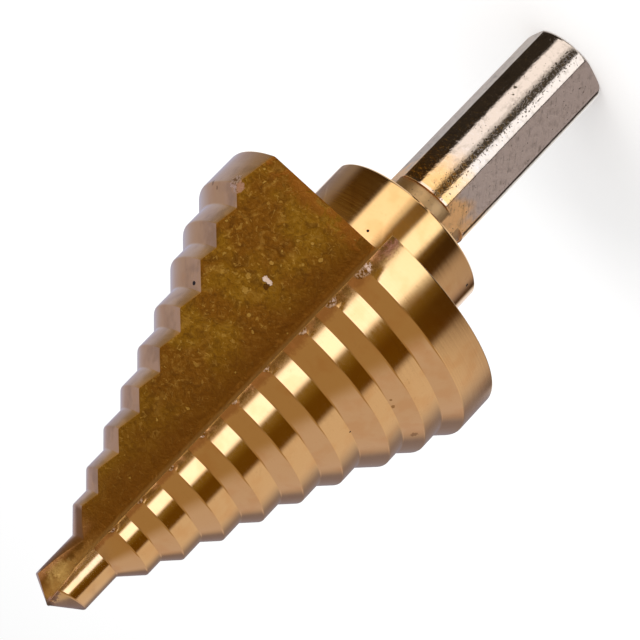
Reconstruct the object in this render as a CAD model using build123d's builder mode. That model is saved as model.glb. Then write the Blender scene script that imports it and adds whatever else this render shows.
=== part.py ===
from build123d import *
import os
from math import atan, cos, degrees, radians, sin, tan

os.makedirs("parts", exist_ok=True)

# A two-flute step drill for holes up to 35 mm, turned, milled and ground from one bar.
# Millimetres and degrees. The drill stands on the end of its shank, at z = 0 with its
# axis on Z, and its tip points up. Seen from the tip it cuts turning counter-clockwise.

# Shank, with three flats for the jaws of a drill chuck.
shank_diameter = 9.5
shank_length = 24.9
shank_end_radius = 0.4
flat_count = 3
flat_depth = 0.45
flat_direction = -10.6
neck_depth = 0.3
neck_length = 3.0

# Collar between the shank and the stepped body.
collar_diameter = 18.2
collar_length = 7.35
collar_chamfer = 0.25

# Stepped body: a pilot, then one cone and one cylinder for each hole size.
pilot_diameter = 6.0
pilot_length = 6.5
point_angle = 130.0
lip_relief = 12.0
step_diameters = [10.0, 13.0, 16.0, 19.0, 22.0, 25.0, 29.0, 32.0, 35.0]
step_pitch = 4.0
last_step_length = 5.9
cone_half_angle = 43.0
land_relief = 0.12

# Flutes: a flat cutting face parallel to the axis, and a floor that climbs from the web
# at the tip and runs out just above the collar.
flute_count = 2
face_lead = 0.6
web_half_thickness = 0.75
flute_angle = 94.0
flute_runout_gap = 2.1
flute_root_radius = 0.9
parting_direction = 30.0

# Gashes that thin the web at the very tip and leave a short chisel edge.
gash_lead = 0.1
gash_half_thickness = 0.1
gash_angle = 95.0
gash_climb = 36.0
gash_root_radius = 0.4

# Heights, radii and slopes that follow from the sizes above.
shank_radius = shank_diameter / 2
neck_radius = shank_radius - neck_depth
flat_from_axis = shank_radius - flat_depth
collar_radius = collar_diameter / 2
collar_base = shank_length
body_base = collar_base + collar_length
body_length = pilot_length + step_pitch * (len(step_diameters) - 1) + last_step_length
tip_height = body_base + body_length
body_radius = step_diameters[-1] / 2
flute_rise = collar_radius + flute_runout_gap - web_half_thickness
flute_climb = degrees(atan(flute_rise / body_length))
cutter_margin = 1.0
cutter_reach = body_radius + cutter_margin


def land_outline():
    """Half profile of the stepped body, from the end of the pilot down to the rear face."""
    radius = pilot_diameter / 2 - land_relief
    foot = tip_height - pilot_length
    outline = [(0, tip_height), (radius, tip_height), (radius, foot)]
    for diameter in step_diameters:
        rise = diameter / 2 - land_relief - radius
        radius += rise
        outline.append((radius, foot - rise / tan(radians(cone_half_angle))))
        foot -= last_step_length if diameter == step_diameters[-1] else step_pitch
        outline.append((radius, foot))
    outline.append((0, foot))
    return outline


def groove_cutter(lead, half_thickness, climb, angle, root_radius):
    """Cutter for one groove: a flat side at x = lead and a floor leaning away from the axis."""
    along = Vector(0, -sin(radians(climb)), -cos(radians(climb)))
    outward = Vector(0, -cos(radians(climb)), sin(radians(climb)))
    across = Vector(1, 0, 0)
    root = Vector(lead, -half_thickness, tip_height)
    floor_normal = outward * sin(radians(angle)) - across * cos(radians(angle))
    with BuildPart() as cutter:
        with Locations((lead, 0, tip_height)):
            Box(
                cutter_reach,
                2 * cutter_reach,
                2 * body_length,
                align=(Align.MIN, Align.CENTER, Align.CENTER),
            )
        split(bisect_by=Plane(origin=root, x_dir=along, z_dir=floor_normal), keep=Keep.TOP)
        side_edges = cutter.edges().filter_by_position(Axis.X, lead, lead)
        root_edge = side_edges.sort_by_distance(root)[0]
        fillet(root_edge, radius=root_radius)
    return cutter.part


# One half of the stepped body. It is turned about an axis set off towards its cutting
# edge, so each band falls away behind the edge and clears the hole that it cuts. The
# point is ground as a cone tilted about the lip, which gives the lip its clearance.
relief_axis = Axis((0, -land_relief, 0), (0, 0, 1))
parting_plane = Plane(
    origin=(0, 0, 0),
    x_dir=(0, 0, 1),
    z_dir=(-cos(radians(parting_direction)), -sin(radians(parting_direction)), 0),
)
with BuildPart() as land:
    with BuildSketch(Plane.XZ.offset(land_relief)):
        with BuildLine():
            Polyline(*land_outline(), close=True)
        make_face()
    revolve(axis=relief_axis)
    with Locations((0, 0, tip_height)):
        Cone(
            bottom_radius=tip_height * tan(radians(point_angle / 2)),
            top_radius=0,
            height=tip_height,
            rotation=(0, -lip_relief, 0),
            align=(Align.CENTER, Align.CENTER, Align.MAX),
            mode=Mode.INTERSECT,
        )
    split(bisect_by=parting_plane, keep=Keep.TOP)

flute = groove_cutter(
    face_lead, web_half_thickness, flute_climb, flute_angle, flute_root_radius
)
gash = groove_cutter(
    gash_lead, gash_half_thickness, gash_climb, gash_angle, gash_root_radius
)

# Shank, neck and collar, turned in one profile, then the three flats are milled.
with BuildPart() as holder:
    with BuildSketch(Plane.XZ):
        with BuildLine():
            Polyline(
                (0, 0),
                (shank_radius, 0),
                (shank_radius, collar_base - neck_length),
                (neck_radius, collar_base - neck_length),
                (neck_radius, collar_base),
                (0, collar_base),
                close=True,
            )
        make_face()
    revolve(axis=Axis.Z)
    fillet(holder.edges().group_by(Axis.Z)[0], radius=shank_end_radius)
    for index in range(flat_count):
        direction = radians(flat_direction + index * 360 / flat_count)
        outward = Vector(cos(direction), sin(direction), 0)
        flat_plane = Plane(origin=outward * flat_from_axis, x_dir=(0, 0, 1), z_dir=outward)
        split(bisect_by=flat_plane, keep=Keep.BOTTOM)
    with BuildSketch(Plane.XZ):
        with BuildLine():
            Polyline(
                (0, collar_base),
                (collar_radius - collar_chamfer, collar_base),
                (collar_radius, collar_base + collar_chamfer),
                (collar_radius, body_base),
                (0, body_base),
                close=True,
            )
        make_face()
    revolve(axis=Axis.Z)

# The whole drill: both lands, the flutes and gashes ground into them, and the holder.
with BuildPart() as step_drill:
    with PolarLocations(0, flute_count):
        add(land.part)
    with PolarLocations(0, flute_count):
        add(flute, mode=Mode.SUBTRACT)
        add(gash, mode=Mode.SUBTRACT)
    add(holder.part)

step_drill.part.label = "step_drill"
export_step(step_drill.part, "parts/step_drill.step")
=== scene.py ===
from math import acos, asin, atan, atan2, cos, hypot, pi, radians, sin, sqrt, tan

import bmesh
import bpy
from mathutils import Euler, Matrix, Vector, noise


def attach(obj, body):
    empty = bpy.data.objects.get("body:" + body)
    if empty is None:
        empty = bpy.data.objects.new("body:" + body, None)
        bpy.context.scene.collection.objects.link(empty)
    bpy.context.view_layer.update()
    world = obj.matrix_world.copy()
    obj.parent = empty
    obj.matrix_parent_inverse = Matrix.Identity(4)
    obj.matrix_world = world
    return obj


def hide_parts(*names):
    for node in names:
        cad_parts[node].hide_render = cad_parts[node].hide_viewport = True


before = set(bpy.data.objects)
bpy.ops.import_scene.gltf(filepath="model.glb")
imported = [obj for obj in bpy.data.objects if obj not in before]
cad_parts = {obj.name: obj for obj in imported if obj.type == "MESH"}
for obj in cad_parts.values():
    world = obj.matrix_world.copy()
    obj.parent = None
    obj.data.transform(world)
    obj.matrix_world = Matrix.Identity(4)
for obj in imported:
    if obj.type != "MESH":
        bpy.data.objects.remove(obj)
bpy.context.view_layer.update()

# A worn two-flute step drill with a gold coat, standing on its shank. Sizes are in
# millimetres and angles in degrees, as on the drill; MM turns them into Blender's metres.
# "Depth" is measured down the axis from the tip of the point.
MM = 0.001

# ---------------------------------------------------------------- driving dimensions
SHANK_RADIUS = 9.5 / 2
SHANK_LENGTH = 24.9
SHANK_END_RADIUS = 0.4
FLAT_COUNT = 3
FLAT_FROM_AXIS = SHANK_RADIUS - 0.45
FLAT_DIRECTION = -10.6
NECK_RADIUS = SHANK_RADIUS - 0.3
NECK_LENGTH = 3.0
NECK_CORNER = 0.15
SHOULDER = SHANK_LENGTH - NECK_LENGTH
COLLAR_RADIUS = 18.2 / 2
COLLAR_LENGTH = 7.35
COLLAR_CHAMFER = 0.25

PILOT_DIAMETER = 6.0
PILOT_LENGTH = 6.5
POINT_HALF_ANGLE = radians(130.0 / 2)
LIP_RELIEF = radians(12.0)
WORN_LIP_RELIEF = radians(2.0)
STEP_DIAMETERS = [10.0, 13.0, 16.0, 19.0, 22.0, 25.0, 29.0, 32.0, 35.0]
STEP_PITCH = 4.0
LAST_STEP_LENGTH = 5.9
CONE_HALF_ANGLE = radians(43.0)
LAND_RELIEF = 0.12

FACE_LEAD = 0.6
WEB_HALF = 0.75
FLUTE_TILT = radians(94.0 - 90.0)
FLUTE_RUNOUT_GAP = 2.1
FLUTE_ROOT_RADIUS = 0.9
PARTING = radians(30.0)
GASH_LEAD = 0.1
GASH_HALF = 0.1
GASH_TILT = radians(95.0 - 90.0)
GASH_CLIMB = radians(36.0)
GASH_ROOT_RADIUS = 0.4
GASH_LENGTH = 3.95
GASH_DRIFT = 0.45
# The widths over which the point runs into the pilot and the gash into the flute's floor, and
# the least wall that the gash leaves beside the flute's face.
POINT_BLEND = 0.08
GASH_BLEND = 0.12
LEAST_WALL = 0.02

BODY_BASE = SHANK_LENGTH + COLLAR_LENGTH
BODY_LENGTH = PILOT_LENGTH + STEP_PITCH * (len(STEP_DIAMETERS) - 1) + LAST_STEP_LENGTH
TIP_HEIGHT = BODY_BASE + BODY_LENGTH
FLUTE_CLIMB = atan((COLLAR_RADIUS + FLUTE_RUNOUT_GAP - WEB_HALF) / BODY_LENGTH)

STEP_CORNER_DEPTHS = []
for index, diameter in enumerate(STEP_DIAMETERS):
    before = STEP_DIAMETERS[index - 1] if index else PILOT_DIAMETER
    cone = (diameter - before) / 2 / tan(CONE_HALF_ANGLE)
    STEP_CORNER_DEPTHS.append(PILOT_LENGTH + STEP_PITCH * index + cone)

# Worn corners. The edge and the heel of a land get sharper where the section reaches less
# than FULL_ROUND_REACH, and a rounding takes no more than ROUND_SHARE of a short run.
CORNER_ROUND = 0.11
CUTTING_EDGE_ROUND = 0.05
HEEL_ROUND = 0.09
HOLDER_ROUND = 0.06
FULL_ROUND_REACH = 3.0
ROUND_SHARE = 0.85

# Fineness of the mesh.
TIP_ROW_DEPTHS = [0.03, 0.07, 0.11, 0.15, 0.2, 0.25, 0.3, 0.36, 0.42, 0.48]
POINT_ROW_SPACING = 0.07
POINT_ROWS_END = PILOT_LENGTH * 0.35
ROW_SPACING = 0.42
REAR_ROWS_INSET = 0.6
CORNER_ROWS = 3
COLLAR_ROW_SPACING = 1.0
SHANK_ROW_SPACING = 0.8
SHANK_END_ROWS = 5
SUPPORT_GAP = 0.025
MERGE_DISTANCE = 0.0005
TINY = 1e-6
HALVINGS = 40
LAND_COLUMNS = 86
FLOOR_COLUMNS = 42
ROOT_COLUMNS = 5
WALL_COLUMNS = 5
FACE_COLUMNS = 12
GASH_FACE_COLUMNS = 4
EDGE_COLUMNS = 2
FLAT_EDGE_GAP = radians(0.5)

# What each vertex carries for the materials. Off the stepped body its distances are FAR_AWAY.
LAYERS = ("to_edge", "to_heel", "to_root", "edge_wear", "chip")
FAR_AWAY = 20.0
# Places in the drill's list of materials, in which the ground coat is 0.
FLUTE_MATERIAL = 1
SHANK_MATERIAL = 2

# Wear beside the cutting edges: the least is at the front, and the most at the last step,
# with chips that stay small up to the last few steps.
BURNT_WIDTH = (0.35, 1.7)
CHIP_SIZE = (0.45, 1.5)
CHIP_GROWTH = 5
CHIP_DEPTH = 0.5
CHIP_NOISE_SCALE = 2.3


# ------------------------------------------------------------------- small helpers
def soft_min(a, b, blend):
    """The smaller of two values, with a rounded change from one to the other."""
    near = max(blend - abs(a - b), 0.0) / blend
    return min(a, b) - near * near * blend / 4


def smooth_step(t):
    t = min(max(t, 0.0), 1.0)
    return t * t * (3 - 2 * t)


def bezier(start, corner, end, t):
    """A point on the short curve that rounds a corner."""
    u = 1 - t
    return tuple(u * u * s + 2 * u * t * c + t * t * e for s, c, e in zip(start, corner, end))


def solve(inside, low, high):
    """Where inside(value) turns from true to false between low and high."""
    for _ in range(HALVINGS):
        middle = (low + high) / 2
        if inside(middle):
            low = middle
        else:
            high = middle
    return low


def turned(point):
    """The same place on the other half of the drill."""
    return (-point[0], -point[1])


# -------------------------------------------------------------- the drill's sections
def land_reach(angle, depth, radius, relief):
    """Distance from the axis to the surface of a land in one direction, its edge being at -Y."""
    off = LAND_RELIEF
    turned_reach = sqrt((radius - off) ** 2 - (off * cos(angle)) ** 2) - off * sin(angle)
    if depth > PILOT_LENGTH:
        return turned_reach
    lean = sin(relief) * cos(angle)
    rise = cos(relief)
    half = cos(POINT_HALF_ANGLE) ** 2
    root = sqrt((lean * rise) ** 2 + (half - lean * lean) * (rise * rise - half))
    return soft_min(turned_reach, depth * (lean * rise + root) / (half - lean * lean), POINT_BLEND)


def gash_lead(depth):
    """Where the gash's side is: beside the axis at the tip, and near the flute's face further on."""
    return GASH_LEAD + GASH_DRIFT * min(depth / GASH_LENGTH, 1.0)


def gash_distance(x, depth):
    """Distance of the gash floor from the axis plane, x to the side of it."""
    return GASH_HALF + depth * tan(GASH_CLIMB) - (x - GASH_LEAD) * tan(GASH_TILT) / cos(GASH_CLIMB)


def floor_distance(x, depth):
    """Distance of the flute's floor, with its rounded root, or of the gash where that is deeper."""
    if x < FACE_LEAD:
        return gash_distance(x, depth)
    flute = WEB_HALF + depth * tan(FLUTE_CLIMB) - (x - FACE_LEAD) * tan(FLUTE_TILT) / cos(FLUTE_CLIMB)
    beside = min(max((FACE_LEAD + FLUTE_ROOT_RADIUS - x) / FLUTE_ROOT_RADIUS, 0.0), 1.0)
    flute += FLUTE_ROOT_RADIUS * (1 - sqrt(1 - beside * beside))
    return soft_min(flute, gash_distance(x, depth), GASH_BLEND)


def even(start, end, count):
    """Evenly spaced values from start to end."""
    return [start + (end - start) * i / (count - 1) for i in range(count)]


def flute_corners(depth, radius, edge_relief, heel_relief):
    """Where a flute leaves the drill at one depth: (heel x, edge distance, has a gash), or None."""

    def edge_inside(x, distance):
        return hypot(x, distance) < land_reach(atan2(-distance, x), depth, radius, edge_relief)

    def heel_inside(x):
        y = -floor_distance(x, depth)
        return hypot(x, y) < land_reach(atan2(y, x) + pi, depth, radius, heel_relief)

    ledge = gash_distance(FACE_LEAD, depth)
    lead = gash_lead(depth)
    corner = gash_distance(lead, depth)
    wall_start = floor_distance(FACE_LEAD, depth)
    cuts_to_gash = edge_inside(lead, corner) and heel_inside(lead)
    has_wall = wall_start < ledge - LEAST_WALL
    gashed = cuts_to_gash and (not has_wall or edge_inside(FACE_LEAD, ledge))
    if not gashed and not has_wall:
        return None
    face, nearest = (lead, corner) if gashed else (FACE_LEAD, wall_start)
    outside = radius + 1
    edge = solve(lambda distance: edge_inside(face, distance), nearest, outside)
    heel = solve(heel_inside, face, outside)
    return heel, edge, gashed


def flute_outline(depth, heel, edge, gashed, heel_round, edge_round):
    """The floor, root, wall, ledge and face of flute 1, from its heel to its cutting edge."""
    first = heel - heel_round
    last = edge - edge_round
    wall_x = min(FACE_LEAD, first)
    root_start = min(wall_x + FLUTE_ROOT_RADIUS, wall_x + ROUND_SHARE * (first - wall_x))
    outline = []
    for x in even(first, root_start, FLOOR_COLUMNS):
        outline.append((x, -floor_distance(x, depth)))
    swing = asin(min(max(1 - (root_start - wall_x) / FLUTE_ROOT_RADIUS, 0.0), 1.0))
    for turn in even(swing, pi / 2, ROOT_COLUMNS + 1)[1:]:
        x = wall_x + FLUTE_ROOT_RADIUS * (1 - sin(turn))
        outline.append((x, -floor_distance(x, depth)))
    wall_start = floor_distance(wall_x, depth)
    if not gashed:
        for distance in even(wall_start, last, WALL_COLUMNS + FACE_COLUMNS + 1)[1:]:
            outline.append((wall_x, -distance))
        return outline
    ledge = max(wall_start, gash_distance(wall_x, depth))
    for distance in even(wall_start, ledge, WALL_COLUMNS + 1)[1:]:
        outline.append((wall_x, -distance))
    lead = gash_lead(depth)
    corner = gash_distance(lead, depth)
    side_round = min(GASH_ROOT_RADIUS, ROUND_SHARE * (wall_x - lead))
    face_round = min(GASH_ROOT_RADIUS, ROUND_SHARE * (last - corner))
    ledge_end = (lead + side_round, -gash_distance(lead + side_round, depth))
    face_start = (lead, -corner - face_round)
    for t in even(0, 1, FACE_COLUMNS - GASH_FACE_COLUMNS):
        outline.append(bezier(ledge_end, (lead, -corner), face_start, t))
    for distance in even(-face_start[1], last, GASH_FACE_COLUMNS + 1)[1:]:
        outline.append((lead, -distance))
    return outline


def radius_at(depth, radius):
    """The section's radius, which the point makes smaller near the tip."""
    return min(radius, depth * tan(POINT_HALF_ANGLE))


def sharpened(rounding, reach):
    """A rounding of a land's edge or heel, made smaller near the tip."""
    return rounding * min(1.0, reach / FULL_ROUND_REACH)


def land_start(flute, depth, radius):
    """The direction in which a land begins, just past its cutting edge."""
    if flute is None:
        return -PARTING
    _, edge, gashed = flute
    reach = radius_at(depth, radius)
    face = gash_lead(depth) if gashed else FACE_LEAD
    return atan2(-edge, face) - sharpened(CUTTING_EDGE_ROUND, reach) / reach


def half_section(depth, radius, own_relief, other_relief):
    """One half of a section's outline: a land with its edge at -Y, then the flute behind it."""
    own_flute = flute_corners(depth, radius, own_relief, other_relief)
    flute_behind = flute_corners(depth, radius, other_relief, own_relief)

    def land_point(angle, relief):
        reach = land_reach(angle, depth, radius, relief)
        return (reach * cos(angle), reach * sin(angle))

    reach = radius_at(depth, radius)
    first = land_start(own_flute, depth, radius)
    if flute_behind is None:
        land = [land_point(angle, own_relief) for angle in even(first, -PARTING - pi, LAND_COLUMNS)]
        spare = 2 * EDGE_COLUMNS + FLOOR_COLUMNS + ROOT_COLUMNS + WALL_COLUMNS + FACE_COLUMNS
        return land + [land[-1]] * spare

    # The flute behind is worked out as flute 1 and turned about the axis.
    heel, edge, gashed = flute_behind
    heel_round = sharpened(HEEL_ROUND, reach)
    edge_round = sharpened(CUTTING_EDGE_ROUND, reach)
    heel_point = (heel, -floor_distance(heel, depth))
    edge_point = (gash_lead(depth) if gashed else FACE_LEAD, -edge)
    last = atan2(heel_point[1], heel_point[0]) - pi + heel_round / reach
    land = [land_point(angle, own_relief) for angle in even(first, last, LAND_COLUMNS)]
    outline = flute_outline(depth, heel, edge, gashed, heel_round, edge_round)
    next_land = land_point(land_start(flute_behind, depth, radius), other_relief)
    heel_curve = []
    edge_curve = []
    for i in range(EDGE_COLUMNS):
        t = (i + 1) / (EDGE_COLUMNS + 1)
        heel_curve.append(bezier(turned(land[-1]), heel_point, outline[0], t))
        edge_curve.append(bezier(outline[-1], edge_point, next_land, t))
    flute = heel_curve + outline + edge_curve
    return land + [turned(point) for point in flute]


def section(depth, radius):
    """A whole section: the land seen in front on the right, then the one on the left."""
    front = half_section(depth, radius, LIP_RELIEF, WORN_LIP_RELIEF)
    back = half_section(depth, radius, WORN_LIP_RELIEF, LIP_RELIEF)
    return front + [turned(point) for point in back]


# ------------------------------------------------------------------ rows of the mesh
def rounded_run(points, corner_round, spacing):
    """A profile with each inner corner rounded and each straight run divided."""
    rows = [points[0]]
    here = points[0]
    for before, corner, after in zip(points, points[1:], points[2:]):
        into = (Vector(corner) - Vector(before)).normalized()
        out_of = (Vector(after) - Vector(corner)).normalized()
        start = Vector(corner) - into * corner_round
        end = Vector(corner) + out_of * corner_round
        rows += divided(here, start, spacing)
        for i in range(1, CORNER_ROWS):
            rows.append(bezier(start, corner, end, i / CORNER_ROWS))
        here = tuple(end)
        rows.append(here)
    rows += divided(here, points[-1], spacing)
    return rows


def divided(start, end, spacing):
    """Points along a straight run after its start, with a close one near each end."""
    start, end = Vector(start), Vector(end)
    run = end - start
    length = run.length
    steps = max(2, round(length / spacing))
    places = [SUPPORT_GAP / length]
    places += [i / steps for i in range(1, steps)]
    places += [1 - SUPPORT_GAP / length, 1.0]
    return [tuple(start + run * place) for place in places]


def body_profile():
    """Depth and radius down the stepped body, from the shoulder of the pilot to the rear."""
    radius = PILOT_DIAMETER / 2
    depth = PILOT_LENGTH
    corners = [(POINT_ROWS_END, radius), (depth, radius)]
    for diameter in STEP_DIAMETERS:
        rise = diameter / 2 - radius
        radius += rise
        corners.append((depth + rise / tan(CONE_HALF_ANGLE), radius))
        depth += LAST_STEP_LENGTH if diameter == STEP_DIAMETERS[-1] else STEP_PITCH
        corners.append((depth, radius))
    corners.append((depth, radius - REAR_ROWS_INSET))
    return rounded_run(corners, CORNER_ROUND, ROW_SPACING)


def collar_profile():
    """Height and radius down the collar, from the rear of the body to the neck."""
    corners = [
        (BODY_BASE, COLLAR_RADIUS),
        (SHANK_LENGTH + COLLAR_CHAMFER, COLLAR_RADIUS),
        (SHANK_LENGTH, COLLAR_RADIUS - COLLAR_CHAMFER),
        (SHANK_LENGTH, NECK_RADIUS + NECK_CORNER),
    ]
    return rounded_run(corners, HOLDER_ROUND, COLLAR_ROW_SPACING)


def shank_profile():
    """Height and radius down the neck and the shank, after the collar's last row."""
    end = SHANK_END_RADIUS
    corners = [
        (SHANK_LENGTH, NECK_RADIUS + NECK_CORNER),
        (SHANK_LENGTH - NECK_CORNER, NECK_RADIUS),
        (SHOULDER, NECK_RADIUS),
        (SHOULDER, SHANK_RADIUS),
        (end, SHANK_RADIUS),
    ]
    rows = rounded_run(corners, HOLDER_ROUND, SHANK_ROW_SPACING)[1:]
    for turn in even(0, pi / 2, SHANK_END_ROWS + 1)[1:]:
        rows.append((end - end * sin(turn), SHANK_RADIUS - end * (1 - cos(turn))))
    return rows


def flat_middles():
    """The directions that the flats face."""
    return [radians(FLAT_DIRECTION + index * 360 / FLAT_COUNT) for index in range(FLAT_COUNT)]


def ring_reach(angle, radius):
    """Distance from the axis to the milled shank in one direction."""
    reach = radius
    for middle in flat_middles():
        toward = cos(angle - middle)
        if toward > 0:
            reach = min(reach, FLAT_FROM_AXIS / toward)
    return reach


def holder_angles(columns):
    """Directions of the holder's columns, falling round the circle, with two at each flat's edge."""
    half_width = acos(FLAT_FROM_AXIS / SHANK_RADIUS)
    marks = []
    for middle in flat_middles():
        for edge in (middle - half_width, middle + half_width):
            marks += [edge - FLAT_EDGE_GAP, edge + FLAT_EDGE_GAP]
    marks = sorted((mark % (2 * pi) for mark in marks), reverse=True)
    share = [max(2, round(columns * gap)) for gap in spans(marks)]
    share[share.index(max(share))] += columns - sum(share)
    angles = []
    for mark, gap, count in zip(marks, spans(marks), share):
        angles += [mark - 2 * pi * gap * i / count for i in range(count)]
    return angles


def spans(marks):
    """The share of the circle from each mark down to the next."""
    nexts = marks[1:] + [marks[0] - 2 * pi]
    return [(mark - following) / (2 * pi) for mark, following in zip(marks, nexts)]


def falling_angles(row):
    """The directions of a row's points, unwound so that they only fall."""
    angles = [atan2(y, x) for x, y, _ in row]
    for i in range(1, len(row)):
        while angles[i] > angles[i - 1] + TINY:
            angles[i] -= 2 * pi
    return angles


def aligned_angles(body_angles):
    """The holder's directions, the first of them being the nearest to the body's first."""
    angles = holder_angles(len(body_angles))
    first = body_angles[0]
    shift = min(range(len(angles)), key=lambda k: abs(sin((angles[k] - first) / 2)))
    angles = angles[shift:] + [angle - 2 * pi for angle in angles[:shift]]
    while angles[0] - first > pi:
        angles = [angle - 2 * pi for angle in angles]
    while first - angles[0] > pi:
        angles = [angle + 2 * pi for angle in angles]
    return angles


def build_rows():
    """Every row of the mesh, from the tip to the end of the shank, as lists of points."""
    point_depths = list(TIP_ROW_DEPTHS)
    while point_depths[-1] + POINT_ROW_SPACING < POINT_ROWS_END:
        point_depths.append(point_depths[-1] + POINT_ROW_SPACING)
    profile = [(depth, PILOT_DIAMETER / 2) for depth in point_depths] + body_profile()
    rows = []
    for depth, radius in profile:
        rows.append([(x, y, TIP_HEIGHT - depth) for x, y in section(depth, radius)])

    # The flat rear face closes in to the collar, down which the body's columns become the holder's.
    body_angles = falling_angles(rows[-1])
    aligned = aligned_angles(body_angles)
    for height, radius in collar_profile():
        blend = smooth_step((BODY_BASE - height) / COLLAR_LENGTH)
        ring = []
        for angle, target in zip(body_angles, aligned):
            turn = angle + (target - angle) * blend
            ring.append((radius * cos(turn), radius * sin(turn), height))
        rows.append(ring)
    for height, radius in shank_profile():
        ring = []
        for angle in aligned:
            reach = ring_reach(angle, radius)
            ring.append((reach * cos(angle), reach * sin(angle), height))
        rows.append(ring)
    return rows


def outline_distances(row):
    """For each point of a body row, the distance to the cutting edge, the heel and the root."""
    columns = len(row)
    half = columns // 2
    edge_columns = [0, half]
    heel_columns = [LAND_COLUMNS - 1, half + LAND_COLUMNS - 1]
    root_columns = [LAND_COLUMNS + EDGE_COLUMNS + FLOOR_COLUMNS + ROOT_COLUMNS - 1]
    root_columns.append(root_columns[0] + half)
    result = []
    for point in row:
        near = []
        for marks in (edge_columns, heel_columns, root_columns):
            near.append(min(hypot(point[0] - row[i][0], point[1] - row[i][1]) for i in marks))
        result.append(near)
    return result


def wear(depth, to_edge):
    """How burnt the land is beside the cutting edge, and how chipped at the corner of a step."""
    width = BURNT_WIDTH[0] + (BURNT_WIDTH[1] - BURNT_WIDTH[0]) * depth / BODY_LENGTH
    burnt = max(0.0, 1.0 - to_edge / width)
    corners = [abs(depth - corner) for corner in STEP_CORNER_DEPTHS]
    step = corners.index(min(corners))
    share = step / (len(corners) - 1)
    size = CHIP_SIZE[0] + (CHIP_SIZE[1] - CHIP_SIZE[0]) * share ** CHIP_GROWTH
    chipped = max(0.0, 1.0 - hypot(corners[step], to_edge) / size)
    return burnt, chipped


def bitten(point, chipped):
    """A place at a chipped corner, moved in toward the axis by an uneven amount."""
    bite = CHIP_DEPTH * chipped * max(0.0, 0.5 + noise.noise(Vector(point) * CHIP_NOISE_SCALE))
    reach = hypot(point[0], point[1])
    share = 1 - bite / reach
    return (point[0] * share, point[1] * share, point[2])


def add_object(name, data):
    """A new object in the scene."""
    made = bpy.data.objects.new(name, data)
    bpy.context.scene.collection.objects.link(made)
    return made


def add_mesh(name, mesh):
    """A new object in the scene, with the mesh that has been built for it."""
    data = bpy.data.meshes.new(name)
    mesh.to_mesh(data)
    mesh.free()
    return add_object(name, data)


def build_drill():
    """The drill as one closed mesh, a grid of rows and columns with a pole at each end."""
    rows = build_rows()
    columns = len(rows[0])
    half = columns // 2
    mesh = bmesh.new()
    layers = [mesh.verts.layers.float.new(name) for name in LAYERS]
    grid = []
    for row in rows:
        depth = TIP_HEIGHT - row[0][2]
        on_body = depth < BODY_LENGTH - TINY
        distances = outline_distances(row) if on_body else [(FAR_AWAY,) * 3] * columns
        made = []
        for point, near in zip(row, distances):
            burnt, chipped = wear(depth, near[0]) if on_body else (0.0, 0.0)
            vertex = mesh.verts.new(Vector(bitten(point, chipped)) * MM)
            for layer, value in zip(layers, [*near, burnt, chipped]):
                vertex[layer] = value
            made.append(vertex)
        grid.append(made)
    tip = mesh.verts.new((0, 0, TIP_HEIGHT * MM))
    foot = mesh.verts.new((0, 0, 0))
    for upper, lower, row in zip(grid, grid[1:], rows):
        height = row[0][2]
        for i in range(columns):
            j = (i + 1) % columns
            face = mesh.faces.new((upper[i], upper[j], lower[j], lower[i]))
            if height < SHANK_LENGTH - TINY:
                face.material_index = SHANK_MATERIAL
            elif height > BODY_BASE + TINY and i % half >= LAND_COLUMNS:
                face.material_index = FLUTE_MATERIAL
    for i in range(columns):
        j = (i + 1) % columns
        mesh.faces.new((tip, grid[0][j], grid[0][i]))
        mesh.faces.new((foot, grid[-1][i], grid[-1][j])).material_index = SHANK_MATERIAL
    bmesh.ops.remove_doubles(mesh, verts=mesh.verts, dist=MERGE_DISTANCE * MM)
    bmesh.ops.recalc_face_normals(mesh, faces=mesh.faces)
    for face in mesh.faces:
        face.smooth = True
    return add_mesh("step_drill_finish", mesh)


drill = build_drill()


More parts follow.
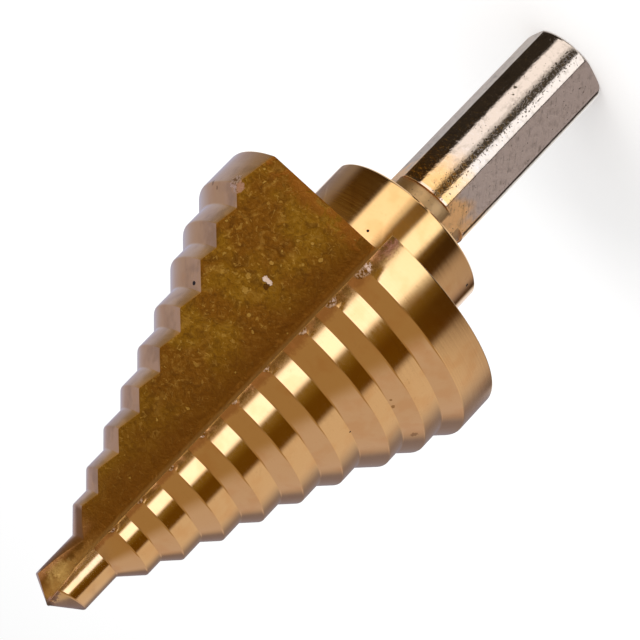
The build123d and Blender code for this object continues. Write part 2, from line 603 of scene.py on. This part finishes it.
# ------------------------------------------------------------------------ node tools
class Graph:
    """Short ways to add and join nodes; an input may be a number, a colour or another node's output."""

    def __init__(self, tree):
        self.tree = tree

    def node(self, kind, inputs=None, **settings):
        made = self.tree.nodes.new(kind)
        for name, value in settings.items():
            setattr(made, name, value)
        for name, value in (inputs or {}).items():
            self.feed(made.inputs[name], value)
        return made

    def feed(self, socket, value):
        if isinstance(value, bpy.types.NodeSocket):
            self.tree.links.new(value, socket)
        else:
            socket.default_value = value

    def math(self, operation, a, b=0.0, clamp=False):
        made = self.node("ShaderNodeMath", {0: a, 1: b}, operation=operation, use_clamp=clamp)
        return made.outputs[0]

    def times(self, a, b):
        return self.math("MULTIPLY", a, b)

    def plus(self, a, b):
        return self.math("ADD", a, b)

    def minus(self, a, b):
        return self.math("SUBTRACT", a, b)

    def larger(self, a, b):
        return self.math("MAXIMUM", a, b)

    def change(self, value, low, high, from_value=0.0, to_value=1.0):
        """from_value below low, to_value above high, and a smooth change between them."""
        inputs = {"Value": value, "From Min": low, "From Max": high}
        inputs.update({"To Min": from_value, "To Max": to_value})
        made = self.node("ShaderNodeMapRange", inputs, interpolation_type="SMOOTHSTEP")
        return made.outputs["Result"]

    def mix(self, share, a, b):
        made = self.node("ShaderNodeMix", data_type="RGBA")
        self.feed(made.inputs[0], share)
        self.feed(made.inputs[6], a)
        self.feed(made.inputs[7], b)
        return made.outputs[2]

    def band(self, value, low, high, soft):
        """1 between low and high, falling to 0 over soft at each side."""
        risen = self.change(value, low - soft / 2, low + soft / 2)
        fallen = self.change(value, high - soft / 2, high + soft / 2, 1.0, 0.0)
        return self.times(risen, fallen)

    def noise(self, where, scale, detail=2.0, rough=0.5, distortion=0.0):
        inputs = {"Vector": where, "Scale": scale, "Detail": detail}
        inputs.update({"Roughness": rough, "Distortion": distortion})
        return self.node("ShaderNodeTexNoise", inputs).outputs["Fac"]

    def place(self):
        """The place on the drill in millimetres, and its three parts."""
        where = self.node("ShaderNodeTexCoord").outputs["Object"]
        scaled = self.node("ShaderNodeVectorMath", {0: where, 1: (1 / MM,) * 3}, operation="MULTIPLY")
        x, y, z = self.split(scaled.outputs[0])
        return scaled.outputs[0], x, y, z

    def distance_from_axis(self, x, y):
        squares = self.plus(self.times(x, x), self.times(y, y))
        return self.math("SQRT", squares)

    def spots(self, where, ragged, spots, soft=0.2):
        """1 in each spot, given as its place and its size in millimetres, with a ragged outline."""
        every = 0.0
        for x, y, z, size in spots:
            away = self.node("ShaderNodeVectorMath", {0: where, 1: (x, y, z)}, operation="DISTANCE")
            uneven = self.times(self.minus(ragged, 0.5), size * 2.0)
            edge = self.plus(away.outputs["Value"], uneven)
            every = self.larger(every, self.change(edge, size * (1 - soft), size, 1.0, 0.0))
        return every

    def split(self, vector):
        return self.node("ShaderNodeSeparateXYZ", {0: vector}).outputs[:3]

    def combine(self, x, y, z):
        return self.node("ShaderNodeCombineXYZ", {0: x, 1: y, 2: z}).outputs[0]

    def attribute(self, name):
        return self.node("ShaderNodeAttribute", attribute_name=name).outputs["Fac"]

    def bump(self, height, distance):
        inputs = {"Height": height, "Distance": distance * MM}
        return self.node("ShaderNodeBump", inputs).outputs["Normal"]


def new_material(name):
    """A new metal material, with its graph and its shader."""
    made = bpy.data.materials.new(name)
    made.use_nodes = True
    graph = Graph(made.node_tree)
    shader = made.node_tree.nodes["Principled BSDF"]
    shader.inputs["Metallic"].default_value = 1.0
    return made, graph, shader


# ------------------------------------------------------------------------- materials
GOLD = (0.75, 0.46, 0.19, 1)
RED_GOLD = (0.70, 0.37, 0.13, 1)
POINT_PINK = (0.60, 0.34, 0.25, 1)
RUBBED_GOLD = (0.66, 0.42, 0.13, 1)
WORN_GOLD = (0.74, 0.50, 0.31, 1)
BURNT_GOLD = (0.30, 0.14, 0.025, 1)
ORANGE_GOLD = (0.62, 0.30, 0.12, 1)
FLAT_GOLD = (0.95, 0.58, 0.25, 1)
# Bare metal at chips, also used for a painted highlight on the rim of the shank's shoulder.
BARE_AND_HIGHLIGHT = (0.85, 0.66, 0.54, 1)
STEEL = (0.62, 0.53, 0.45, 1)
# The dark of stains, also used for painted shade in the collar's corner and in the neck's groove.
STAIN_AND_SHADE = (0.10, 0.08, 0.055, 1)
FLOOR_GOLD = (0.27, 0.124, 0.005, 1)
FLOOR_BROWN = (0.22, 0.082, 0.004, 1)
FLOOR_LIGHT = (0.50, 0.28, 0.05, 1)
FLOOR_DARK = (0.12, 0.045, 0.003, 1)
FLOOR_RED = (0.34, 0.115, 0.012, 1)
EDGE_PINK = (0.55, 0.25, 0.16, 1)
# The brown of the painted shade at the flute's root.
ROOT_SHADE_BROWN = (0.175, 0.061, 0.003, 1)
FACE_GOLD = (0.46, 0.24, 0.06, 1)
PIT = (0.02, 0.012, 0.008, 1)

# Single marks: x, y, z and size, in millimetres.
COAT_PITS = [
    (2.57, -8.72, 30.7, 0.15), (-8.06, -4.23, 26.15, 0.17), (11.11, -6.22, 45.7, 0.26),
    (-9.36, -8.23, 46.23, 0.1),
]
COAT_SMUDGES = [
    (16.75, -4.38, 36.6, 0.32), (16.0, -5.4, 37.0, 0.22),
    (-14.1, -5.6, 41.3, 0.42), (-10.0, -10.75, 41.9, 0.15), (-10.6, -10.0, 42.05, 0.2),
]
SHANK_PITS = [(2.0, -4.3, 7.5, 0.2), (1.6, -4.45, 8.3, 0.12)]
POINT_WORN = [(0.2, -1.5, 75.92, 0.7), (0.0, -0.54, 76.38, 0.6), (0.25, -2.4, 75.5, 0.45)]
POINT_RUBBED = [(0.9, -1.7, 73.9, 1.7), (0.5, -2.0, 74.9, 1.3)]
POINT_DARK = [(1.66, -1.75, 72.06, 0.55), (1.76, -2.02, 70.9, 0.8), (2.6, -1.9, 70.6, 0.6)]
HEEL_CHIPS = [(14.4, -9.2, 36.55, 0.6), (15.0, -8.6, 36.15, 0.7), (14.6, -9.0, 37.0, 0.4)]
FLOOR_CHIPS = [(6.35, -8.7, 41.2, 0.36), (5.95, -8.7, 41.2, 0.3)]
FLOOR_HOLES = [(5.9, -8.6, 41.7, 0.3)]
FLOOR_SCUFFS = [
    (7.8, -8.4, 42.1, 0.36), (7.0, -8.1, 43.3, 0.3), (7.1, -9.0, 39.8, 0.24),
    (5.2, -7.9, 44.7, 0.2), (2.8, -8.8, 41.7, 0.16), (6.7, -9.7, 36.6, 0.18),
    (5.5, -10.0, 35.9, 0.16), (3.9, -10.0, 36.5, 0.22), (4.8, -9.6, 37.9, 0.16),
]

# Heights between which a look comes or goes.
REDDENED = (BODY_BASE + 0.8, BODY_BASE + 3.6)
# Where painted shade darkens the collar's corner under the body's rear face.
CORNER_SHADE = (BODY_BASE - 0.2, BODY_BASE + 0.02)
SHADED_HEEL = (TIP_HEIGHT - 8.5, TIP_HEIGHT - 1.8)
TIP_STAIN = (TIP_HEIGHT - 0.5, TIP_HEIGHT - 0.15)
FLOOR_TIP_STAIN = (TIP_HEIGHT - 0.6, TIP_HEIGHT - 0.2)
FLOOR_DARKENS = (46.0, 60.0)
FLOOR_REAR = (BODY_BASE + 0.3, BODY_BASE + 2.4)
FLOOR_POINT = (TIP_HEIGHT - 9.0, TIP_HEIGHT - 4.5)
SHOULDER_STEP = (SHOULDER - 0.01, SHOULDER + 0.01)
# Where the shank's coat starts and is full, on the round part and on a flat. The noise that
# makes its end uneven, COAT_UNEVEN strong, adds about half of that to the height.
ROUND_COAT = (18.5, 24.0)
FLAT_COAT = (21.9, 24.4)
COAT_UNEVEN = 6.0
# The y in front of which the shank has the most specks.
PITTED_FROM = -4.71


def ground_coat():
    """Ground and coated lands, rear face and collar: fine lines run round the axis."""
    made, g, shader = new_material("ground_gold_coat")
    where, x, y, z = g.place()
    inner = g.larger(g.distance_from_axis(x, y), 0.5)
    round_x = g.times(g.math("DIVIDE", x, inner), 1.2)
    round_y = g.times(g.math("DIVIDE", y, inner), 1.2)
    lines = g.noise(g.combine(round_x, round_y, g.times(z, 7.0)), 1.0, 4.0, 0.6)
    grain = g.noise(where, 3.6, 3.0, 0.6)
    smudges = g.noise(where, 1.1, 3.0, 0.6)
    clouds = g.noise(where, 0.45, 2.0, 0.5)
    facing_up = g.split(g.node("ShaderNodeNewGeometry").outputs["Normal"])[2]
    cone = g.change(facing_up, 0.25, 0.5)

    to_heel = g.attribute("to_heel")
    heel_worn = g.change(g.plus(to_heel, g.times(smudges, 4.0)), 2.4, 7.0, 0.75, 0.0)
    uneven = g.times(g.plus(grain, smudges), 0.55)
    burnt = g.change(g.minus(g.attribute("edge_wear"), uneven), -0.50, 0.05)
    chip = g.change(g.plus(g.attribute("chip"), g.times(grain, 0.6)), 0.62, 0.72)
    chip = g.larger(chip, g.spots(where, grain, HEEL_CHIPS))
    smudge = g.spots(where, grain, COAT_SMUDGES)
    pits = g.spots(where, grain, COAT_PITS)

    color = g.mix(g.change(clouds, 0.45, 0.7, 0.0, 0.5), GOLD, RED_GOLD)
    worn_patches = g.times(heel_worn, g.change(smudges, 0.35, 0.6, 0.6, 1.0))
    color = g.mix(worn_patches, color, WORN_GOLD)
    burnt_color = g.mix(g.change(smudges, 0.45, 0.70), BURNT_GOLD, ORANGE_GOLD)
    burnt_color = g.mix(g.times(cone, 0.7), burnt_color, ORANGE_GOLD)
    color = g.mix(g.times(burnt, 0.85), color, burnt_color)
    reddened = g.times(g.change(z, *REDDENED, 0.8, 0.0), burnt)
    color = g.mix(g.times(reddened, g.change(smudges, 0.42, 0.55)), color, EDGE_PINK)
    streaks = g.times(heel_worn, g.change(clouds, 0.42, 0.62, 0.0, 0.35))
    color = g.mix(streaks, color, STAIN_AND_SHADE)
    color = g.mix(chip, color, g.mix(g.change(grain, 0.42, 0.6), BARE_AND_HIGHLIGHT, BURNT_GOLD))
    shaded_heel = g.band(z, *SHADED_HEEL, 0.4)
    shaded_heel = g.times(shaded_heel, g.change(to_heel, 0.9, 2.0, 0.8, 0.0))
    color = g.mix(shaded_heel, color, FLOOR_BROWN)
    point_worn = g.spots(where, grain, POINT_WORN, 0.4)
    color = g.mix(g.times(point_worn, 0.85), color, g.mix(smudges, POINT_PINK, STAIN_AND_SHADE))
    color = g.mix(g.change(z, *TIP_STAIN, 0.0, 0.7), color, STAIN_AND_SHADE)
    color = g.mix(g.times(smudge, 0.75), color, BURNT_GOLD)
    # Painted shade: a dark band on the collar in its corner under the body's rear face.
    corner_shade = g.band(z, *CORNER_SHADE, 0.06)
    color = g.mix(g.times(corner_shade, 0.8), color, STAIN_AND_SHADE)
    color = g.mix(pits, color, PIT)
    rough = g.change(lines, 0.3, 0.7, 0.07, 0.12)
    rough = g.plus(rough, g.times(heel_worn, 0.14))
    rough = g.plus(rough, g.times(burnt, 0.12))
    rough = g.plus(rough, g.times(g.larger(shaded_heel, point_worn), 0.25))
    rough = g.math("ADD", rough, g.times(chip, 0.3), clamp=True)
    g.feed(shader.inputs["Base Color"], color)
    g.feed(shader.inputs["Roughness"], rough)
    damage = g.times(g.minus(grain, 0.5), g.larger(burnt, chip))
    height = g.plus(g.times(lines, 0.22), g.times(damage, 2.5))
    height = g.plus(height, g.times(g.times(smudges, heel_worn), 3.0))
    g.feed(shader.inputs["Normal"], g.bump(height, 0.004))
    return made


def flute_floor():
    """The flutes were left rough under the coat: mottled and scuffed, with painted shade toward the
    root.
    """
    made, g, shader = new_material("rough_gold_flute")
    where, x, _, z = g.place()
    broad = g.noise(where, 0.22, 2.0, 0.5)
    mottle = g.noise(where, 0.8, 3.0, 0.55, 0.6)
    grain = g.noise(where, 2.6, 3.0, 0.6, 0.5)
    curls = g.noise(where, 0.9, 2.0, 0.5, 0.9)
    breaks = g.noise(where, 1.7, 1.0)
    light_line = g.change(g.math("ABSOLUTE", g.minus(curls, 0.5)), 0.014, 0.04, 1.0, 0.0)
    light_line = g.times(light_line, g.change(breaks, 0.55, 0.62))
    dark_line = g.change(g.math("ABSOLUTE", g.minus(curls, 0.42)), 0.012, 0.035, 1.0, 0.0)
    dark_line = g.times(dark_line, g.change(breaks, 0.42, 0.48, 1.0, 0.0))
    ragged = g.noise(where, 2.0, 2.0, 0.6)
    to_root = g.attribute("to_root")
    x_from_axis = g.math("ABSOLUTE", x)
    root_shade = g.change(g.plus(to_root, g.times(broad, 3.0)), 2.4, 6.6, 1.0, 0.0)
    chip = g.spots(where, ragged, FLOOR_CHIPS)
    hole = g.spots(where, ragged, FLOOR_HOLES)
    scuff = g.spots(where, ragged, FLOOR_SCUFFS)
    scuff = g.larger(scuff, g.change(g.noise(where, 1.5, 1.0), 0.74, 0.78))

    color = g.mix(g.change(broad, 0.40, 0.60), FLOOR_GOLD, FLOOR_BROWN)
    color = g.mix(g.change(mottle, 0.50, 0.68, 0.0, 0.55), color, FLOOR_DARK)
    color = g.mix(g.change(mottle, 0.30, 0.46, 0.3, 0.0), color, FLOOR_LIGHT)
    color = g.mix(g.change(grain, 0.50, 0.70, 0.0, 0.5), color, FLOOR_DARK)
    color = g.mix(g.change(grain, 0.30, 0.48, 0.25, 0.0), color, FLOOR_LIGHT)
    color = g.mix(g.times(light_line, 0.5), color, FLOOR_LIGHT)
    color = g.mix(g.times(dark_line, 0.4), color, FLOOR_DARK)
    color = g.mix(g.change(z, *FLOOR_DARKENS, 0.0, 0.35), color, FLOOR_DARK)
    # Painted shade: the floor gets darker toward the flute's root.
    color = g.mix(g.times(root_shade, 0.85), color, ROOT_SHADE_BROWN)
    at_rear = g.change(z, *FLOOR_REAR, 0.7, 0.0)
    color = g.mix(g.times(at_rear, g.change(mottle, 0.44, 0.54)), color, FLOOR_RED)
    at_wall = g.change(to_root, 0.15, 0.7, 0.7, 0.0)
    at_face = g.change(x_from_axis, FACE_LEAD + 0.05, FACE_LEAD + 0.5, 0.9, 0.0)
    color = g.mix(g.larger(at_wall, at_face), color, FACE_GOLD)
    point = g.change(z, *FLOOR_POINT, 0.0, 0.65)
    color = g.mix(g.times(point, g.change(x_from_axis, 0.8, 2.2, 1.0, 0.0)), color, FACE_GOLD)
    color = g.mix(g.times(g.spots(where, mottle, POINT_DARK, 0.7), 0.7), color, FLOOR_DARK)
    color = g.mix(g.times(g.spots(where, mottle, POINT_RUBBED, 0.8), 0.8), color, RUBBED_GOLD)
    color = g.mix(g.times(point, g.change(x_from_axis, 1.7, 2.5)), color, ORANGE_GOLD)
    color = g.mix(g.times(g.spots(where, grain, POINT_WORN, 0.4), 0.8), color, POINT_PINK)
    color = g.mix(g.change(z, *FLOOR_TIP_STAIN, 0.0, 0.7), color, STAIN_AND_SHADE)
    color = g.mix(g.times(scuff, 0.8), color, FLOOR_LIGHT)
    color = g.mix(chip, color, BARE_AND_HIGHLIGHT)
    color = g.mix(g.times(g.spots(where, grain, HEEL_CHIPS), 0.6), color, POINT_PINK)
    color = g.mix(hole, color, FLOOR_DARK)
    g.feed(shader.inputs["Base Color"], color)
    g.feed(shader.inputs["Roughness"], g.change(grain, 0.35, 0.65, 0.36, 0.5))
    shader.inputs["Metallic"].default_value = 0.7
    shader.inputs["Specular IOR Level"].default_value = 0.2
    height = g.plus(g.times(grain, 0.7), g.times(mottle, 2.0))
    height = g.plus(height, g.times(light_line, 0.3))
    height = g.plus(height, g.times(g.larger(scuff, chip), 0.8))
    height = g.minus(height, g.times(hole, 1.5))
    g.feed(shader.inputs["Normal"], g.bump(height, 0.07))
    return made


def shank_steel():
    """Bare steel shank that the coat has only reached near the collar, with matt milled flats."""
    made, g, shader = new_material("shank_steel")
    where, x, y, z = g.place()
    grain = g.noise(where, 4.0, 3.0, 0.6)
    waves = g.noise(where, 1.3, 3.0, 0.6)
    clouds = g.noise(where, 0.5, 2.0)
    slant = g.plus(z, g.times(x, 1.1))
    drawn = g.combine(g.times(slant, 3.2), g.times(x, 0.8), g.times(y, 0.8))
    scratches = g.noise(drawn, 1.0, 3.0, 0.6)
    in_neck = g.change(z, *SHOULDER_STEP)
    turned_radius = g.change(z, *SHOULDER_STEP, SHANK_RADIUS, NECK_RADIUS)
    under = g.minus(turned_radius, g.distance_from_axis(x, y))
    flat = g.change(under, 0.02, 0.05)
    later = [on_flat - on_round for on_flat, on_round in zip(FLAT_COAT, ROUND_COAT)]
    coat_starts = g.plus(ROUND_COAT[0], g.times(flat, later[0]))
    coat_is_full = g.plus(ROUND_COAT[1], g.times(flat, later[1]))
    uneven_z = g.plus(z, g.times(clouds, COAT_UNEVEN))
    coated = g.change(uneven_z, coat_starts, coat_is_full)
    pitted = g.change(y, PITTED_FROM, PITTED_FROM + 0.06, 0.13, 0.0)
    speckled = g.plus(g.times(clouds, 0.3), pitted)
    specks = g.change(g.plus(g.noise(where, 3.8, 1.0), speckled), 0.87, 0.93, 0.0, 0.85)
    specks = g.larger(specks, g.spots(where, grain, SHANK_PITS))
    turned = g.minus(1.0, flat)
    # The neck's groove, which gets painted shade and a rougher surface.
    groove_shade = g.times(in_neck, turned)
    # Painted highlight: a pale line along the rim of the shank's shoulder, on the front side.
    rim_highlight = g.times(g.band(z, SHOULDER - 0.3, SHOULDER, 0.1), turned)
    rim_highlight = g.times(rim_highlight, g.change(y, -2.5, -1.0, 0.6, 0.0))

    color = g.mix(coated, STEEL, g.mix(flat, GOLD, FLAT_GOLD))
    color = g.mix(g.change(waves, 0.5, 0.75, 0.0, 0.3), color, STAIN_AND_SHADE)
    scratched = g.times(flat, g.change(waves, 0.42, 0.6, 0.3, 1.0))
    color = g.mix(g.times(g.change(scratches, 0.52, 0.68, 0.0, 0.4), scratched), color, STAIN_AND_SHADE)
    # Painted shade in the neck's groove under the collar.
    color = g.mix(g.times(groove_shade, 0.4), color, STAIN_AND_SHADE)
    color = g.mix(rim_highlight, color, BARE_AND_HIGHLIGHT)
    color = g.mix(specks, color, STAIN_AND_SHADE)
    rough = g.plus(g.times(flat, 0.30), g.change(grain, 0.4, 0.7, 0.06, 0.13))
    g.feed(shader.inputs["Base Color"], color)
    g.feed(shader.inputs["Roughness"], g.larger(rough, g.times(groove_shade, 0.42)))
    drawn_height = g.times(g.times(scratches, scratched), 3.0)
    height = g.plus(g.times(waves, 3.5), drawn_height)
    height = g.minus(height, specks)
    g.feed(shader.inputs["Normal"], g.bump(height, 0.006))
    return made


for make_material in (ground_coat, flute_floor, shank_steel):
    drill.data.materials.append(make_material())
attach(drill, "root")
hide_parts("step_drill")

# ---------------------------------------------------------------------------- studio
# The camera sees white and diffuse rays a plain level. Glossy rays see neither: the metal mirrors a
# tent of soft panels and dark gaps, fitted to the bands on the photographed drill. Azimuth runs
# round it from the photograph's right, 90 degrees being the camera's side. Each belt has a level of
# its own and its panels: where one starts and ends, how soft its sides are, and its level, 1 being
# white. The belts are named for what mirrors them, from the lowest to the highest.
WHITE = (1.0, 1.0, 1.0)
PLAIN = (0.78, 0.78, 0.78)
SHANK_GAP = (0.04, 0.031, 0.022)
COLLAR_GAP = (0.075, 0.037, 0.006)
STEP_GAP = (0.15, 0.077, 0.005)
WARM_DIM = (0.43, 0.32, 0.19)
HIGH_BACK = (0.62, 0.56, 0.50)
KEY = (1.95, 2.15, 2.9)
FRONT = (1.65, 1.65, 1.80)
SHANK_BELT = [
    (322, 381, 20, (0.50, 0.45, 0.48)),
    (58, 85, 8, (1.65, 1.72, 1.85)),
    (86, 103, 5, (0.085, 0.072, 0.056)),
    (104, 114, 8, (0.95, 0.92, 0.90)),
    (112, 146, 8, (1.50, 1.45, 1.45)),
    (204, 236, 16, (0.30, 0.28, 0.28)),
    (232, 302, 14, (1.0, 1.0, 1.0)),
]
COLLAR_BELT = [
    (322, 376, 28, (0.54, 0.48, 0.51)),
    (48, 90, 12, (0.20, 0.13, 0.03)),
    (58, 86, 13, (1.65, 1.80, 2.10)),
    (87, 103, 5, (0.38, 0.25, 0.09)),
    (105, 114, 8, (0.95, 0.92, 0.88)),
    (112, 147, 8, (1.60, 1.62, 1.75)),
    (200, 250, 24, (0.27, 0.25, 0.30)),
    (252, 302, 14, (1.0, 1.0, 1.05)),
]
STEP_BELT = [
    (262, 336, 16, (0.29, 0.26, 0.29)),
    (324, 364, 36, (0.80, 0.74, 0.76)),
    (340, 384, 8, (0.80, 0.74, 0.76)),
    (50, 92, 16, (0.26, 0.18, 0.035)),
    (61, 84, 7, KEY),
    (85, 102, 6, (0.30, 0.21, 0.06)),
    (106, 149, 12, FRONT),
    (152, 204, 12, (0.42, 0.30, 0.12)),
    (198, 266, 12, (0.38, 0.30, 0.18)),
    (218, 266, 20, (0.48, 0.50, 0.68)),
]
CONE_BELT = [
    (192, 268, 16, (0.43, 0.40, 0.50)),
    (268, 308, 12, (0.26, 0.235, 0.29)),
    (308, 368, 16, (0.66, 0.60, 0.68)),
    (46, 62, 14, (0.34, 0.25, 0.145)),
]
# Each higher belt: the elevations between which it takes over, its own level and its panels.
HIGHER_BELTS = [
    ((-20.4, -19.0), COLLAR_GAP, COLLAR_BELT),
    ((-18.4, -17.6), STEP_GAP, STEP_BELT),
    ((-4, 12), WARM_DIM, CONE_BELT),
    ((48, 66), WARM_DIM, []),
]
# The patch high at the back, which the point's flank mirrors: where it comes in, as the
# direction's part away from the camera's side and as an elevation.
BACK_PART = (0.40, 0.48)
BACK_ELEVATION = (40, 48)
BRIGHTEST = 2.9
WHOLE_TURN = 360


def scaled(level):
    """A level as a colour, for a background of strength BRIGHTEST."""
    return (*(part / BRIGHTEST for part in level), 1)


def belt(g, turn, own_level, panels):
    """The tent round the drill at one height, turn being the share of a whole turn."""
    color = scaled(own_level)
    for start, end, soft, level in panels:
        middle = (start + end) / 2 / WHOLE_TURN
        away = g.math("FRACT", g.plus(turn, 1.5 - middle))
        away = g.math("ABSOLUTE", g.minus(away, 0.5))
        half = (end - start) / 2 / WHOLE_TURN
        edge = soft / 2 / WHOLE_TURN
        inside = g.change(away, half - edge, half + edge, 1.0, 0.0)
        color = g.mix(inside, color, scaled(level))
    return color


def studio_world():
    """White to the camera, the tent to glossy rays, and a plain level to all others."""
    world = bpy.data.worlds.new("studio")
    world.use_nodes = True
    world.cycles.sampling_method = "NONE"
    g = Graph(world.node_tree)
    direction = g.node("ShaderNodeTexCoord").outputs["Generated"]
    x, y, z = g.split(direction)
    across = g.times(x, -1.0)
    toward = g.times(y, -1.0)
    turn = g.math("DIVIDE", g.math("ARCTAN2", toward, across), 2 * pi)
    elevation = g.math("ARCSINE", z)
    tent = belt(g, turn, SHANK_GAP, SHANK_BELT)
    for (low, high), level, panels in HIGHER_BELTS:
        risen = g.change(elevation, radians(low), radians(high))
        tent = g.mix(risen, tent, belt(g, turn, level, panels))
    high_up = g.change(elevation, *(radians(angle) for angle in BACK_ELEVATION))
    behind = g.times(g.change(y, *BACK_PART), high_up)
    tent = g.mix(behind, tent, scaled(HIGH_BACK))
    path = g.node("ShaderNodeLightPath").outputs
    seen = g.mix(path["Is Glossy Ray"], scaled(PLAIN), tent)
    seen = g.mix(path["Is Camera Ray"], seen, scaled(WHITE))
    background = world.node_tree.nodes["Background"]
    g.feed(background.inputs["Color"], seen)
    background.inputs["Strength"].default_value = BRIGHTEST
    bpy.context.scene.world = world


studio_world()
bpy.context.scene.view_settings.view_transform = "Standard"

# Floor and lamp, in metres; the floor's glow, for the camera alone, brings it up to white.
FLOOR_HALF_SIZE = 4.0
FLOOR_WHITE = (0.9, 0.9, 0.9, 1)
FLOOR_ROUGHNESS = 0.9
FLOOR_GLOW = 0.22
LAMP_SIZE = 0.5
LAMP_POWER = 2.0
LAMP_PLACE = (0.25, -0.35, 0.6)
LAMP_TARGET = Vector((0, 0, 0.03))


def pale_floor():
    """A matt floor that keeps the drill's shadow, and that the drill doesn't mirror."""
    mesh = bmesh.new()
    bmesh.ops.create_grid(mesh, x_segments=1, y_segments=1, size=FLOOR_HALF_SIZE)
    floor = add_mesh("floor", mesh)
    made, g, shader = new_material("floor_white")
    shader.inputs["Metallic"].default_value = 0.0
    shader.inputs["Base Color"].default_value = FLOOR_WHITE
    shader.inputs["Roughness"].default_value = FLOOR_ROUGHNESS
    shader.inputs["Specular IOR Level"].default_value = 0.0
    shader.inputs["Emission Color"].default_value = (1, 1, 1, 1)
    camera_ray = g.node("ShaderNodeLightPath").outputs["Is Camera Ray"]
    g.feed(shader.inputs["Emission Strength"], g.times(camera_ray, FLOOR_GLOW))
    floor.data.materials.append(made)
    floor.visible_glossy = False


pale_floor()


def soft_lamp():
    """A wide lamp above the camera's side, which gives the floor its soft shadow."""
    lamp = bpy.data.lights.new("soft_lamp", "AREA")
    lamp.size = LAMP_SIZE
    lamp.energy = LAMP_POWER
    holder = add_object("soft_lamp", lamp)
    holder.location = LAMP_PLACE
    aim = LAMP_TARGET - holder.location
    holder.rotation_euler = aim.to_track_quat("-Z", "Y").to_euler()
    holder.visible_glossy = False


soft_lamp()

# ---------------------------------------------------------------------------- camera
# The photograph's view, from the fit of a camera to the drill's outline.
LENS = 143.31
SENSOR_WIDTH = 36
CLIP_START = 0.01
CAMERA_PLACE = Vector((0.0, -240.79, 108.40)) * MM
CAMERA_DOWN = radians(16.32)
CAMERA_ROLL = radians(-136.29)
camera_data = bpy.data.cameras.new("camera")
camera_data.lens = LENS
camera_data.sensor_width = SENSOR_WIDTH
camera_data.clip_start = CLIP_START
camera = add_object("camera", camera_data)
base = Euler((radians(90) - CAMERA_DOWN, 0, 0)).to_matrix()
roll = Matrix.Rotation(CAMERA_ROLL, 3, "Z")
camera.matrix_world = Matrix.Translation(CAMERA_PLACE) @ (base @ roll).to_4x4()
bpy.context.scene.camera = camera
